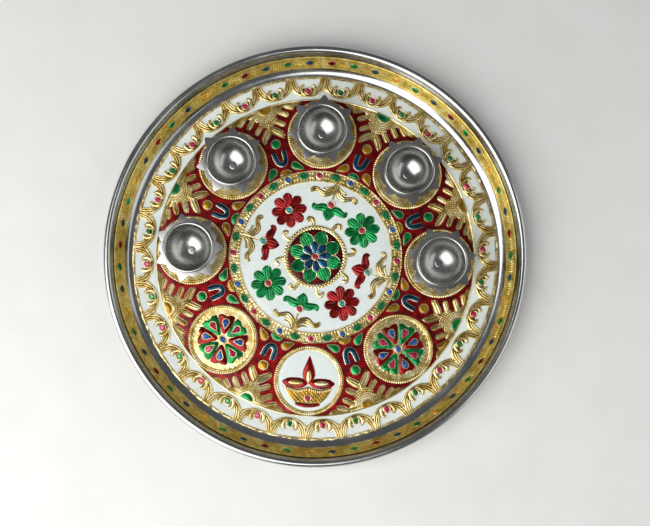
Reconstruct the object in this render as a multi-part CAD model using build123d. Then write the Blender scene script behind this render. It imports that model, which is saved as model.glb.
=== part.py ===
from build123d import *
import os
from math import asin, cos, radians, sin, sqrt

# Puja thali: a pressed steel tray with an embossed gilt foil on its floor, coloured enamels and
# glass stones on the foil, a gilt strip round the wall, and five loose petal-brimmed bowls.
# Millimetres, +Z up, origin at the centre of the underside. A clock angle runs clockwise from +Y
# seen from above, and a motif is drawn with +Y pointing away from the centre of the tray.

# Tray
tray_dia = 254.0
sheet_t = 0.8
rim_run = 14.1
corner_r = 3.6
wall_angle = 54.0
bead_r = 1.4

# Thicknesses on the floor of the tray
foil_t = 0.3
relief_h = 0.8
ground_t = 0.3
motif_t = 0.5
stone_h = 1.4
foil_margin = 0.2

# Rings of the pattern, from the centre outwards
centre_r = 16.7
centre_ring_w = 2.8
field_w = 26.9
band_w = 7.8
ring_gap = 0.5
medallion_r = 21.2
medallion_rim_w = 2.6
border_w = 13.8
edge_w = 1.5
line_w = 1.0
medallions = 8
touch_gap = 0.3

# Centre flower
green_petal_half = 4.0
green_petal_in = 8.0
blue_petal_r = 1.9
blue_petal_in = 3.2
blue_petal_tip = 9.6
point_r = 0.5
green_angle = 16.0
blue_angle = 38.5

# Inner field: flowers, sprays, scrolls and finials
flower_angle = 57.5
flower_r = 10.8
flower_petal_r = 2.9
petal_angle = 22.0
flower_eye_r = 3.6
spray_angle = 13.8
spray_leaf_len = 8.6
spray_leaf_r = 2.4
spray_bud_half = 3.5
spray_lean = 72.0
scroll_r = 1.6
scroll_root = (0.8, 2.4)
scroll_bends = [(4.2, 5.2), (8.8, 7.4), (12.2, 4.6)]
scroll_stem_in = 4.2
finial_r = 1.6
finial_len = 5.8
finial_angle = 34.4

# Stones
round_stone_r = 1.85
stone_table = 0.6
marquise_len = 4.8
marquise_half = 1.5
drop_stone_r = 1.6
drop_stone_len = 3.6

# Stone band and garland
garland_swags = 32
swag_w = 5.6
swag_in = 2.1
swag_rise = 4.2
swag_overlap = 0.2
swag_stone_up = 3.4

# Sectors between the medallions
lobe_r = 3.1
lobe_sink = 1 / 3
half_round_r = 3.4
tear_r = 2.6
tear_len = 5.6
tear_angle = 8.75
loop_w = 10.0
loop_len = 10.8
loop_stroke = 3.4
loop_in = 4.5
cell_r = 3.1
cell_in = 19.8
finger_w = 3.2
finger_len = 7.8
trunk_w = 5.6
trunk_len = 17.6
fan_tail = 24.0
fan_tail_w = 3.9
fan_shoulders = [(5.2, 12.0), (9.8, 7.6), (14.0, 5.0), (18.6, 5.6)]
fingers = [(6.3, 20.6, 40), (9.4, 14.4, 47), (12.8, 9.8, 50), (17.0, 6.8, 58)]

# Flower wheels
wheel_petals = 8
wheel_angles = [{"green": 19.0, "red": 64.0}, {"green": 52.0, "red": 7.0}]
wheel_petal_in = 2.6
wheel_petal_r = 4.0
wheel_petal_tip = 15.2

# Lamp picture
flame_half = 4.0
flame_len = 16.6
flame_foot = 1.6
almond_len = 15.4
almond_half = 3.4
almond_side = 8.3
core_share = 0.5
lamp_half = 14.2
lamp_foot_half = 7.0
lamp_depth = 9.0
lamp_bulge = 1.2
foot_line_h = 2.2
foot_gap = 0.3

# Strip and drops on the wall
strip_low = 1.5
strip_w = 8.7
strip_t = 0.3
glue_t = 0.2
seam_gap = 0.1
seam_clock = -1.5
drop_len = 5.2
drop_half = 1.5
drop_t = 0.5
drop_lift = 0.02

# Bowls
bowl_base_r = 5.0
bowl_mouth_r = 14.8
bowl_wall = 0.7
bowl_arc_h = 15.4
bowl_lip_r = 0.9
brim_t = 0.6
brim_drop = 1.5
brim_points = 7
brim_tip_r = 21.6
brim_valley_r = 16.6
brim_bulge = 0.5
bowl_turns = {
    "katori_left": 35.5,
    "katori_upper_left": -0.1,
    "katori_top": 1.4,
    "katori_upper_right": 15.2,
    "katori_right": 25.4,
}

# Radii that follow from the sizes above
tray_r = tray_dia / 2
flat_r = tray_r - rim_run
foil_r = flat_r - foil_margin
centre_out = centre_r + centre_ring_w
field_out = centre_out + field_w
band_out = field_out + band_w
pitch_r = band_out + ring_gap + medallion_r
ground_out = pitch_r + medallion_r + touch_gap
border_out = ground_out + border_w
pattern_r = border_out + edge_w
field_mid = (centre_out + field_out) / 2
band_mid = (field_out + band_out) / 2
step = 360 / medallions
swag_step = 360 / garland_swags
floor_r = medallion_r - medallion_rim_w

# Heights on the floor of the tray
foil_top = sheet_t + foil_t
ground_top = foil_top + ground_t
relief_top = foil_top + relief_h
motif_top = ground_top + motif_t

# The pattern is drawn at its own size and enlarged or reduced to the foil that it is pressed on
art = foil_r / pattern_r


def polar(r, clock):
    """Point at radius r and a clock angle."""
    return Vector(r * sin(radians(clock)), r * cos(radians(clock)))


def at(r, clock):
    """Place for a motif at radius r and a clock angle, its +Y pointing away from the centre."""
    return Rot(0, 0, -clock) * Pos(0, r)


def around(motif, clocks):
    """Copies of a motif, drawn at its own radius, turned to each clock angle."""
    return [Rot(0, 0, -clock) * motif for clock in clocks]


def join(*faces):
    """One sketch from faces that may touch or overlap."""
    return Sketch() + list(faces)


def ring(outer, inner):
    return Circle(outer) - Circle(inner)


def teardrop(y0, r0, y1, r1):
    """Outline of two circles on the Y axis and the two lines that touch both."""
    lean = asin((r1 - r0) / (y1 - y0))
    x0, x1 = r0 * cos(lean), r1 * cos(lean)
    low, high = y0 - r0 * sin(lean), y1 - r1 * sin(lean)
    outline = [
        Line((x0, low), (x1, high)),
        ThreePointArc((x1, high), (0, y1 + r1), (-x1, high)),
        Line((-x1, high), (-x0, low)),
        ThreePointArc((-x0, low), (0, y0 - r0), (x0, low)),
    ]
    return make_face(outline)


def leaf(y0, y1, half):
    """Almond outline pointed at both ends."""
    middle = (y0 + y1) / 2
    right = ThreePointArc((0, y0), (half, middle), (0, y1))
    left = ThreePointArc((0, y1), (-half, middle), (0, y0))
    return make_face([right, left])


def limb(start, end, r):
    """Round-ended bar between two points."""
    way = Vector(end) - Vector(start)
    turn = Vector(0, 1).get_signed_angle(way)
    return Pos(Vector(start)) * Rot(0, 0, turn) * teardrop(0, r, way.length, r)


def mirrored(*faces):
    """Faces and their mirror images across the Y axis."""
    return [*faces, *[mirror(face, about=Plane.YZ) for face in faces]]


def press(drawing, z, thickness):
    """Solids raised from a drawing, fitted to the foil, between z and z + thickness."""
    fitted = drawing.scale(art, about=(0, 0, 0))
    return (Pos(0, 0, z) * extrude(fitted, thickness)).solids()


def save(name, solids):
    export_step(Compound(list(solids)), f"parts/{name}.step")


def round_stones(places, z):
    """Round glass stones with a flat table, standing at height z."""
    table_r = round_stone_r * stone_table
    stone = Cone(round_stone_r, table_r, stone_h, align=(Align.CENTER, Align.CENTER, Align.MIN))
    return [Pos(place.position * art) * Pos(0, 0, z) * stone for place in places]


os.makedirs("parts", exist_ok=True)

# Tray, turned from the section of its sheet with a rolled bead at the rim
slope = radians(wall_angle)
run, rise = cos(slope), sin(slope)
inner_foot = Vector(flat_r + corner_r * rise, sheet_t + corner_r * (1 - run))
outer_foot = inner_foot + Vector(rise, -run) * sheet_t
wall_len = (tray_r - bead_r - (inner_foot.X + outer_foot.X) / 2) / run
inner_top = inner_foot + Vector(run, rise) * wall_len
outer_top = outer_foot + Vector(run, rise) * wall_len
corner_centre = Vector(flat_r, sheet_t + corner_r)
corner_way = Vector(sin(slope / 2), -cos(slope / 2))
tray_outline = [
    Line((0, 0), (flat_r, 0)),
    ThreePointArc((flat_r, 0), corner_centre + corner_way * (corner_r + sheet_t), outer_foot),
    Line(outer_foot, outer_top),
    Line(outer_top, inner_top),
    Line(inner_top, inner_foot),
    ThreePointArc(inner_foot, corner_centre + corner_way * corner_r, (flat_r, sheet_t)),
    Line((flat_r, sheet_t), (0, sheet_t)),
    Line((0, sheet_t), (0, 0)),
]
bead_centre = (inner_top + outer_top) / 2
tray_section = make_face(tray_outline) + Pos(bead_centre) * Circle(bead_r)
save("tray", revolve(Plane.XZ * tray_section, Axis.Z).solids())

# Clock angles of the pattern
medallion_clocks = [step * i for i in range(medallions)]
sector_clocks = [step * (i + 0.5) for i in range(medallions)]
green_sectors, amber_sectors = sector_clocks[0::2], sector_clocks[1::2]
wheel_clocks = [3 * step, 5 * step]
bowl_clocks = [6 * step, 7 * step, 0, step, 2 * step]
quarter_turns = [0, 90, 180, 270]
eighth_turns = [45 * i for i in range(8)]

# Gilt relief of the foil: garland of swags in the border, a wavy ribbon whose crests meet the edge
swag_clocks = [swag_step * (i + 0.5) for i in range(garland_swags)]
swag_low = ground_out + swag_in
swag_foot = polar(swag_low + swag_rise, swag_step / 2)
swag_head = polar(border_out + swag_overlap, swag_step / 2)
swag = make_face(
    [
        ThreePointArc((-swag_foot.X, swag_foot.Y), (0, swag_low), (swag_foot.X, swag_foot.Y)),
        Line(swag_foot, swag_head),
        ThreePointArc(swag_head, (0, swag_low + swag_w), (-swag_head.X, swag_head.Y)),
        Line((-swag_head.X, swag_head.Y), (-swag_foot.X, swag_foot.Y)),
    ]
)

# Gilt relief: frond fan of each sector, a trunk with tails along the boundary and four fingers a side.
# A finger is given by its tip, as an offset from the sector's axis and a depth from the boundary,
# and by how far it leans out from the axis.
finger_bars = []
for tip_x, depth, lean in fingers:
    way = Vector(-sin(radians(lean)), cos(radians(lean)))
    tip = Vector(tip_x, ground_out - depth) + way * finger_w / 2
    finger_bars.append(limb(tip, tip + way * finger_len, finger_w / 2))
trunk_top = ground_out - trunk_len
fan_side = [(trunk_w / 2, trunk_top), *[(x, ground_out - depth) for x, depth in fan_shoulders]]
fan_side += [(fan_tail, ground_out - fan_tail_w), (fan_tail, ground_out)]
fan_outline = fan_side + [(-x, y) for x, y in reversed(fan_side)]
line_in = ground_out - line_w / 2
fan = join(make_face(Polyline(*fan_outline, close=True)), *mirrored(*finger_bars))
fan = (fan & Circle(ground_out)) - Pos(0, line_in) * Circle(half_round_r + touch_gap)

# Gilt relief: scroll leaves between each spray and the stone band, and finials of the centre ring
spray_r = field_mid + ring_gap
scroll_up = field_out - spray_r
scroll_path = [(scroll_root[0], scroll_up - scroll_root[1]), *scroll_bends]
scroll_bars = [limb(a, b, scroll_r) for a, b in zip(scroll_path, scroll_path[1:])]
scroll_stem = limb((0, scroll_stem_in), (0, scroll_up), scroll_r / 2)
scroll = Pos(0, spray_r) * join(scroll_stem, *mirrored(*scroll_bars))
finial = teardrop(centre_out - touch_gap, finial_r / 2, centre_out + finial_len - finial_r, finial_r)

# Gilt relief: cores of the flame and of the two almond leaves of the lamp
flame_low = -flame_foot
flame = leaf(flame_low, flame_low + flame_len, flame_half)
core_low = flame_low + 2 * touch_gap
flame_core = leaf(core_low, core_low + flame_len * core_share, flame_half * core_share)
almond = Rot(0, 0, 90) * leaf(-almond_len / 2, almond_len / 2, almond_half)
almond_core = almond.scale(core_share, about=(0, 0, 0))
almond_y = flame_low - touch_gap
almond_places = [Pos(-almond_side, almond_y), Pos(almond_side, almond_y)]
lamp_place = Pos(0, -pitch_r)
lamp_cores = [lamp_place * flame_core, *[lamp_place * place * almond_core for place in almond_places]]

# Embossed foil: one gilt sheet with its relief standing up from the flat disc
medallion_rim = Pos(0, pitch_r) * ring(medallion_r, floor_r)
relief = join(
    ring(pattern_r, border_out),
    ring(ground_out + line_w / 2, ground_out - line_w / 2),
    ring(band_out, field_out),
    ring(centre_out, centre_r),
    *around(medallion_rim, medallion_clocks),
    *around(swag, swag_clocks),
    *around(fan, sector_clocks),
    *around(scroll, [spray_angle + turn for turn in quarter_turns]),
    *around(finial, [finial_angle + turn for turn in eighth_turns]),
    *lamp_cores,
)
foil_disc = Pos(0, 0, sheet_t) * extrude(Circle(foil_r), foil_t)
save("embossed_foil", (foil_disc + press(relief, foil_top, relief_h)).solids())

# Enamel grounds, each filling its zone of the foil round the relief
medallion_discs = around(Pos(0, pitch_r) * Circle(medallion_r), medallion_clocks)
border_ground = ring(border_out, ground_out) - relief
sector_ground = ring(ground_out, band_out) - [relief, *medallion_discs]
field_ground = ring(field_out, centre_out) - relief
lamp_ground = lamp_place * Circle(floor_r) - relief
save("border_white_enamel", press(border_ground, foil_top, ground_t))
save("sector_red_enamel", press(sector_ground, foil_top, ground_t))
save("field_white_enamel", press(field_ground, foil_top, ground_t))
save("lamp_white_enamel", press(lamp_ground, foil_top, ground_t))
save("centre_red_enamel", press(Circle(centre_r), foil_top, ground_t))

# Centre flower: eight blue petals, eight green ones behind them and a stone in the middle
blue_petal = teardrop(blue_petal_in + point_r, point_r, blue_petal_tip - blue_petal_r, blue_petal_r)
blue_petals = join(*around(blue_petal, [blue_angle + turn for turn in eighth_turns]))
green_petal = leaf(green_petal_in, centre_r - touch_gap, green_petal_half)
green_petals = join(*around(green_petal, [green_angle + turn for turn in eighth_turns])) - blue_petals
save("centre_petals_green", press(green_petals, ground_top, motif_t))
save("centre_petals_blue", press(blue_petals, ground_top, motif_t))
save("centre_stone", round_stones([at(0, 0)], ground_top))

# Flowers and leaf sprays of the white field, each with a stone
flower_tip = teardrop(flower_eye_r, flower_petal_r / 2, flower_r - flower_petal_r, flower_petal_r)
flower = join(Circle(flower_eye_r), *around(flower_tip, [petal_angle + turn for turn in eighth_turns]))
spray_leaf = teardrop(spray_leaf_r, spray_leaf_r / 2, spray_leaf_len, spray_leaf_r)
spray_bud = leaf(round_stone_r / 2, spray_leaf_len + spray_leaf_r, spray_bud_half)
spray_leaves = around(spray_leaf, [180 - spray_lean, 180 + spray_lean])
spray = join(Circle(round_stone_r + touch_gap), *around(spray_bud, [180]), *spray_leaves)
for colour, turns in {"green": [0, 180], "red": [90, 270]}.items():
    flowers = [at(field_mid, flower_angle + turn) * flower for turn in turns]
    sprays = [at(spray_r, spray_angle + turn) * spray for turn in turns]
    save(f"flowers_{colour}", press(join(*flowers), ground_top, motif_t))
    save(f"sprays_{colour}", press(join(*sprays), ground_top, motif_t))
    stone_places = [at(field_mid, flower_angle + turn) for turn in turns]
    stone_places += [at(spray_r, spray_angle + turn) for turn in turns]
    stone_colour = {"green": "pink", "red": "aqua"}[colour]
    save(f"flower_stones_{stone_colour}", round_stones(stone_places, motif_top))

# Coloured cells of the sectors: a lobe on the stone band and a half round on the boundary in one
# colour, two teardrops and a round in the other, and a blue loop between them
lobe = Pos(0, band_out - lobe_r * lobe_sink) * Circle(lobe_r) - Circle(band_out)
half_cell = Pos(0, line_in) * Circle(half_round_r) & Circle(line_in)
tear = teardrop(-tear_len / 2, point_r, tear_len / 2, tear_r)
tear_r_pitch = band_out + tear_r + touch_gap
tears = [at(tear_r_pitch, turn * tear_angle) * Rot(0, 0, turn * 90) * tear for turn in (1, -1)]
first_cells = [lobe, half_cell]
second_cells = [*tears, Pos(0, band_out + cell_in) * Circle(cell_r)]
for colour, first, second in (
    ("green", green_sectors, amber_sectors),
    ("amber", amber_sectors, green_sectors),
):
    cells = [cell for motif in first_cells for cell in around(motif, first)]
    cells += [cell for motif in second_cells for cell in around(motif, second)]
    save(f"sector_cells_{colour}", press(join(*cells), ground_top, motif_t))
bend_r = loop_w / 2
leg = loop_len - bend_r
loop_outer = Circle(bend_r) + Pos(0, leg / 2) * Rectangle(loop_w, leg)
slot_r = bend_r - loop_stroke
loop_slot = Circle(slot_r) + Pos(0, leg) * Rectangle(2 * slot_r, 2 * leg)
loop = Pos(0, band_out + loop_in + bend_r) * (loop_outer - loop_slot)
save("sector_loops_blue", press(join(*around(loop, sector_clocks)), ground_top, motif_t))

# Flower wheels: red and green petals by turns on the bare gilt floor, a drop stone on each petal
wheel_petal = teardrop(
    wheel_petal_in + point_r, point_r, wheel_petal_tip - wheel_petal_r, wheel_petal_r
)
drop_stone_out = wheel_petal_tip - wheel_petal_r
drop_stone = teardrop(drop_stone_out - drop_stone_len, point_r, drop_stone_out, drop_stone_r)
wheel_step = 360 / wheel_petals
petal_t = ground_t + motif_t
for colour, stone_colour in (("red", "blue"), ("green", "pink")):
    turns = [
        Pos(polar(pitch_r, clock)) * Rot(0, 0, -angles[colour] - 2 * wheel_step * i)
        for clock, angles in zip(wheel_clocks, wheel_angles)
        for i in range(wheel_petals // 2)
    ]
    save(f"wheel_petals_{colour}", press(join(*[turn * wheel_petal for turn in turns]), foil_top, petal_t))
    drop_stones = press(join(*[turn * drop_stone for turn in turns]), foil_top + petal_t, stone_h)
    save(f"wheel_stones_{stone_colour}", drop_stones)
save("wheel_centre_stones", round_stones([at(pitch_r, clock) for clock in wheel_clocks], foil_top))

# Lamp picture: red flame, leaves and foot line, amber bowl, and a stone on the bowl
red_parts = [flame, *[place * almond for place in almond_places]]
lamp_top = almond_y - almond_half - touch_gap
lamp_low = lamp_top - lamp_depth
side_middle = Vector((lamp_half + lamp_foot_half) / 2, (lamp_top + lamp_low) / 2)
side_way = Vector(lamp_depth, lamp_foot_half - lamp_half).normalized()
side_point = side_middle + side_way * lamp_bulge
lamp_bowl = make_face(
    [
        Line((-lamp_half, lamp_top), (lamp_half, lamp_top)),
        ThreePointArc((lamp_half, lamp_top), side_point, (lamp_foot_half, lamp_low)),
        Line((lamp_foot_half, lamp_low), (-lamp_foot_half, lamp_low)),
        ThreePointArc((-lamp_foot_half, lamp_low), (-side_point.X, side_point.Y), (-lamp_half, lamp_top)),
    ]
)
foot_line = Pos(0, lamp_low - foot_gap - foot_line_h / 2) * Rectangle(2 * lamp_foot_half, foot_line_h)
lamp_red = (lamp_place * join(*red_parts) - relief) + lamp_place * foot_line
save("lamp_flame_red", press(lamp_red, ground_top, motif_t))
save("lamp_bowl_amber", press(lamp_place * lamp_bowl, ground_top, motif_t))
save("lamp_stone", round_stones([lamp_place * Pos(0, (lamp_top + lamp_low) / 2)], motif_top))

# Stones of the garland, pink and green by turns, and of the stone band
swag_stone_r = swag_low + swag_stone_up
garland_places = [at(swag_stone_r, clock) for clock in swag_clocks]
save("garland_stones_green", round_stones(garland_places[0::2], relief_top))
save("garland_stones_pink", round_stones(garland_places[1::2], relief_top))
save("band_stones_pink", round_stones([at(band_mid, clock) for clock in medallion_clocks], relief_top))
save("band_stones_blue", round_stones([at(band_mid, clock) for clock in sector_clocks], relief_top))
marquise = Pos(0, band_mid) * Rot(0, 0, 90) * leaf(-marquise_len / 2, marquise_len / 2, marquise_half)
marquise_clocks = [step * (i + 0.5) / 2 for i in range(2 * medallions)]
save("band_stones_green", press(join(*around(marquise, marquise_clocks)), relief_top, stone_h))

# Order of the colours of the enamel drops on the wall, clockwise from the top seam: one run on the right
# strip, and two on the left one, given by how many drops they have
right_run = (29, ["red", "green", "blue", "orange", "green", "blue"])
left_run = (17, ["red", "blue", "green", "orange", "blue", "green"])
last_run = (9, ["red", "green", "blue", "orange", "green", "red", "blue", "green", "blue"])
drop_runs = [right_run, left_run, last_run]
drop_colours = [order[i % len(order)] for count, order in drop_runs for i in range(count)]
drop_step = 360 / len(drop_colours)

# Gilt strip on the wall, in two lengths that nearly meet at a seam near the top and one near the bottom
wall_way = Vector(run, rise)
wall_in = Vector(-rise, run)
strip_foot = inner_foot + wall_way * strip_low + wall_in * glue_t
strip_head = strip_foot + wall_way * strip_w
strip_section = make_face(
    Polyline(
        strip_foot, strip_head, strip_head + wall_in * strip_t, strip_foot + wall_in * strip_t, close=True
    )
)
right_arc = right_run[0] * drop_step
strip_arcs = {"right": (seam_clock, right_arc), "left": (seam_clock + right_arc, 360 - right_arc)}
for side, (start, sweep) in strip_arcs.items():
    strip = revolve(Plane.XZ * strip_section, Axis.Z, revolution_arc=sweep - 2 * seam_gap)
    save(f"rim_strip_{side}", (Rot(0, 0, 90 - start - sweep + seam_gap) * strip).solids())

# Enamel drops on the strip, evenly spaced round it
strip_mid = (strip_foot + strip_head) / 2 + wall_in * strip_t
wall_r = strip_mid.X / rise
drop_sag = wall_r - sqrt(wall_r**2 - (drop_len / 2) ** 2)
drop_seat = strip_mid + wall_in * (drop_sag + drop_lift)
drop = extrude(Rot(0, 0, 90) * leaf(-drop_len / 2, drop_len / 2, drop_half), drop_t)
drop_place = Pos(0, drop_seat.X, drop_seat.Y) * Rot(wall_angle, 0, 0)
drops = {"blue": [], "green": [], "red": [], "orange": []}
for i, colour in enumerate(drop_colours):
    clock = seam_clock + (i + 0.5) * drop_step
    drops[colour].append(Rot(0, 0, -clock) * drop_place * drop)
for colour, shapes in drops.items():
    save(f"rim_drops_{colour}", [solid for shape in shapes for solid in shape.solids()])

# Bowl: a deep drawn cup with a rolled lip and a flat brim cut into seven points
cup_rise = bowl_mouth_r - bowl_base_r
cup_r = (bowl_arc_h**2 + cup_rise**2) / (2 * cup_rise)
cup_centre = Vector(bowl_mouth_r - cup_r, bowl_arc_h)
well_r = cup_r - bowl_wall
well_foot = Vector(cup_centre.X + sqrt(well_r**2 - (bowl_arc_h - bowl_wall) ** 2), bowl_wall)
cup_way = (Vector(bowl_base_r, 0) + Vector(bowl_mouth_r, bowl_arc_h)) / 2 - cup_centre
cup_way = cup_way.normalized()
cup_outline = [
    Line((0, 0), (bowl_base_r, 0)),
    ThreePointArc((bowl_base_r, 0), cup_centre + cup_way * cup_r, (bowl_mouth_r, bowl_arc_h)),
    Line((bowl_mouth_r, bowl_arc_h), (bowl_mouth_r - bowl_wall, bowl_arc_h)),
    ThreePointArc((bowl_mouth_r - bowl_wall, bowl_arc_h), cup_centre + cup_way * well_r, well_foot),
    Line(well_foot, (0, bowl_wall)),
    Line((0, bowl_wall), (0, 0)),
]
lip = Pos(bowl_mouth_r - bowl_wall / 2, bowl_arc_h) * Circle(bowl_lip_r)
cup = revolve(Plane.XZ * (make_face(cup_outline) + lip), Axis.Z)
point_step = 360 / brim_points
brim_edges = []
for i in range(brim_points):
    tip = polar(brim_tip_r, i * point_step)
    for turn in (-0.5, 0.5):
        valley = polar(brim_valley_r, (i + turn) * point_step)
        middle = (tip + valley) / 2
        bulge = middle + middle.normalized() * brim_bulge
        ends = (valley, bulge, tip) if turn < 0 else (tip, bulge, valley)
        brim_edges.append(ThreePointArc(*ends))
brim_face = make_face(brim_edges) - Circle(bowl_mouth_r - bowl_wall / 2)
bowl = cup + Pos(0, 0, bowl_arc_h - brim_drop) * extrude(brim_face, brim_t)
for (name, turn), clock in zip(bowl_turns.items(), bowl_clocks):
    seat = polar(pitch_r * art, clock) + Vector(0, 0, foil_top)
    save(name, (Pos(seat) * Rot(0, 0, -turn) * bowl).solids())
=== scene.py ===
from math import cos, exp, pi, radians, sin, sqrt

import bpy
from mathutils import Matrix, Vector, noise


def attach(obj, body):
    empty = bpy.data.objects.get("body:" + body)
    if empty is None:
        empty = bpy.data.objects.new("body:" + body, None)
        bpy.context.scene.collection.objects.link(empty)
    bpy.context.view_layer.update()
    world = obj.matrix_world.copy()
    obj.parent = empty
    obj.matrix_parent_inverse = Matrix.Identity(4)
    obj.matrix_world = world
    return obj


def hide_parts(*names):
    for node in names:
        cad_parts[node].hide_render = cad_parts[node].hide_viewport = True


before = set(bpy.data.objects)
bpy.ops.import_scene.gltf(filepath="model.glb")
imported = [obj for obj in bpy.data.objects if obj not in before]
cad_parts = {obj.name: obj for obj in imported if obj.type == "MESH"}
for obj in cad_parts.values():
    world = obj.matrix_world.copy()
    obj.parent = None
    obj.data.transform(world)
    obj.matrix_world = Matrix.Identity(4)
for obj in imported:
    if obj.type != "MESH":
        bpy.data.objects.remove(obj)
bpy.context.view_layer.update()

# Tray: one round sheet of stainless steel, flat in the middle, spun up into a sloping wall and rolled
# over at the rim into a round bead. Everything else lies on its floor or is glued to its wall.
# Sizes here and below are in millimetres, and clock angles run clockwise from +Y.
mm = 0.001
sheet_t = 0.8
flat_r = 111.7
corner_r = 6.0
wall_angle = 54.0
bead_r = 2.2
bead_at = (124.8, 13.97)


def arc(centre, radius, start, end, steps):
    """Points of an arc in a turned section, its angles in degrees up from the outward radius."""
    angles = [radians(start + (end - start) * i / steps) for i in range(steps + 1)]
    return [(centre[0] + radius * cos(a), centre[1] + radius * sin(a)) for a in angles]


def turned(section, steps):
    """A closed section of (radius, height) points, spun round the Z axis."""
    bpy.ops.object.select_all(action="DESELECT")
    bpy.ops.mesh.primitive_circle_add(vertices=len(section), radius=1)
    piece = bpy.context.object
    for point, (r, z) in zip(piece.data.vertices, section):
        point.co = (r * mm, 0, z * mm)
    bpy.ops.object.mode_set(mode="EDIT")
    bpy.ops.mesh.select_all(action="SELECT")
    bpy.ops.mesh.spin(steps=steps, angle=2 * pi, center=(0, 0, 0), axis=(0, 0, 1))
    close_up()
    return piece


def close_up():
    """Merge what meets, clear what that leaves loose, turn all faces outwards and leave edit mode."""
    bpy.ops.mesh.select_all(action="SELECT")
    bpy.ops.mesh.remove_doubles(threshold=0.01 * mm)
    bpy.ops.mesh.delete_loose()
    bpy.ops.mesh.select_all(action="SELECT")
    bpy.ops.mesh.normals_make_consistent(inside=False)
    bpy.ops.object.mode_set(mode="OBJECT")


def paint(code):
    """Linear colour of an sRGB hex value."""
    parts = [int(code[i:i + 2], 16) / 255 for i in (0, 2, 4)]
    return (*[c / 12.92 if c <= 0.04045 else ((c + 0.055) / 1.055) ** 2.4 for c in parts], 1.0)


def node(tree, kind, inputs=None, stops=(), **settings):
    """Add a node with its settings; an input is either a constant or the socket that feeds it.

    The stops of a colour ramp are pairs of a position and an sRGB hex value.
    """
    made = tree.nodes.new("ShaderNode" + kind)
    for name, value in settings.items():
        setattr(made, name, value)
    for name, value in (inputs or {}).items():
        if isinstance(value, bpy.types.NodeSocket):
            tree.links.new(value, made.inputs[name])
        else:
            made.inputs[name].default_value = value
    ramp = made.color_ramp.elements if stops else []
    while len(ramp) < len(stops):
        ramp.new(1.0)
    for element, (position, code) in zip(ramp, stops):
        element.position = position
        element.color = paint(code)
    return made


def new_material(name):
    """A named material without nodes, and its node tree."""
    material = bpy.data.materials.new(name)
    material.use_nodes = True
    material.node_tree.nodes.clear()
    return material, material.node_tree


def spun_steel(name, ring_pitch, roughness, dull, bright):
    """Stainless steel polished on a lathe: fine rings round the axis, and wiped smears.

    Real turning lines are a tenth or two of a millimetre apart; they are drawn coarser, to show.
    """
    wave_rate = 3.18  # waves in a unit of length at a Scale of 1
    material, tree = new_material(name)
    coords = node(tree, "TexCoord").outputs["Object"]
    rings = node(tree, "TexWave", {
        "Vector": coords, "Scale": 1 / (ring_pitch * mm * wave_rate), "Distortion": 0.6, "Detail": 2.0,
    }, wave_type="RINGS", rings_direction="Z")
    smear = node(tree, "TexNoise", {"Vector": coords, "Scale": 1 / (22 * mm), "Detail": 4.0})
    rough = node(tree, "MapRange", {
        "Value": smear.outputs["Fac"], "From Min": 0.3, "From Max": 0.7,
        "To Min": roughness * 0.7, "To Max": roughness * 1.4,
    })
    bump = node(tree, "Bump", {"Height": rings.outputs["Fac"], "Strength": 0.08, "Distance": 0.04 * mm})
    colour = node(tree, "ValToRGB", {"Fac": smear.outputs["Fac"]}, stops=((0.3, dull), (0.7, bright)))
    shader = node(tree, "BsdfPrincipled", {
        "Base Color": colour.outputs["Color"], "Metallic": 1.0, "Roughness": rough.outputs["Result"],
        "Normal": bump.outputs["Normal"],
    })
    node(tree, "OutputMaterial", {"Surface": shader.outputs["BSDF"]})
    return material


def fit(piece, name, material, slot, body, *nodes, smooth=40):
    """Name a finished piece, give it its finish and join it to the frame."""
    piece.name = piece.data.name = name
    piece.data.materials.clear()
    piece.data.materials.append(material)
    bpy.ops.object.select_all(action="DESELECT")
    piece.select_set(True)
    bpy.context.view_layer.objects.active = piece
    bpy.ops.object.shade_smooth_by_angle(angle=radians(smooth))
    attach(piece, body)
    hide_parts(*nodes)


corner_at = (flat_r, sheet_t + corner_r)
bead_cut = 10.5  # degrees of the bead, on either side of the wall, that the wall takes up
tray_section = [(0, 0), (60, 0)]
tray_section += arc(corner_at, corner_r + sheet_t, -90, wall_angle - 90, 10)
tray_section += arc(bead_at, bead_r, wall_angle - 180 + bead_cut, wall_angle + 180 - bead_cut, 22)
tray_section += arc(corner_at, corner_r, wall_angle - 90, -90, 10)
tray_section += [(60, sheet_t), (0, sheet_t)]
tray_steel = spun_steel("spun_stainless_steel", 0.9, 0.19, "ACAEAD", "BEBFBD")
fit(turned(tray_section, 240), "tray_sheet", tray_steel, "steel", "tray", "tray", smooth=30)

# Embossed foil: a thin gilt sheet pressed over a die and glued to the floor. Its edge was trimmed by
# hand, so it runs a little ragged and lifts in places. The raised work below is pressed in the same sheet.
foil_r = 112.5
foil_z = 1.1


def pressed(across, along, shape, under="fill"):
    """A sheet whose points lie at shape(u, v), u from -1 to 1 across it and v from 0 to 1 along it.

    shape gives x, y, z in millimetres and a value: how much painted shade darkens a hollow of the
    gilding, or how bare of its colour the lacquer is. Open edges are filled, or for a ring its two edges
    are bridged underneath.
    """
    bpy.ops.object.select_all(action="DESELECT")
    bpy.ops.mesh.primitive_grid_add(x_subdivisions=across, y_subdivisions=along, size=2)
    piece = bpy.context.object
    shade_or_bare_layer = piece.data.attributes.new("shade_or_bare", "FLOAT", "POINT")
    for point, shade_or_bare in zip(piece.data.vertices, shade_or_bare_layer.data):
        x, y, z, shade_or_bare.value = shape(point.co.x, (point.co.y + 1) / 2)
        point.co = (x * mm, y * mm, z * mm)
    bpy.ops.object.mode_set(mode="EDIT")
    bpy.ops.mesh.select_all(action="SELECT")
    bpy.ops.mesh.remove_doubles(threshold=0.01 * mm)
    if under == "bridge":
        bpy.ops.mesh.region_to_loop()
        bpy.ops.mesh.bridge_edge_loops()
    else:
        bpy.ops.mesh.fill_holes(sides=0)
    close_up()
    return piece


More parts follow.
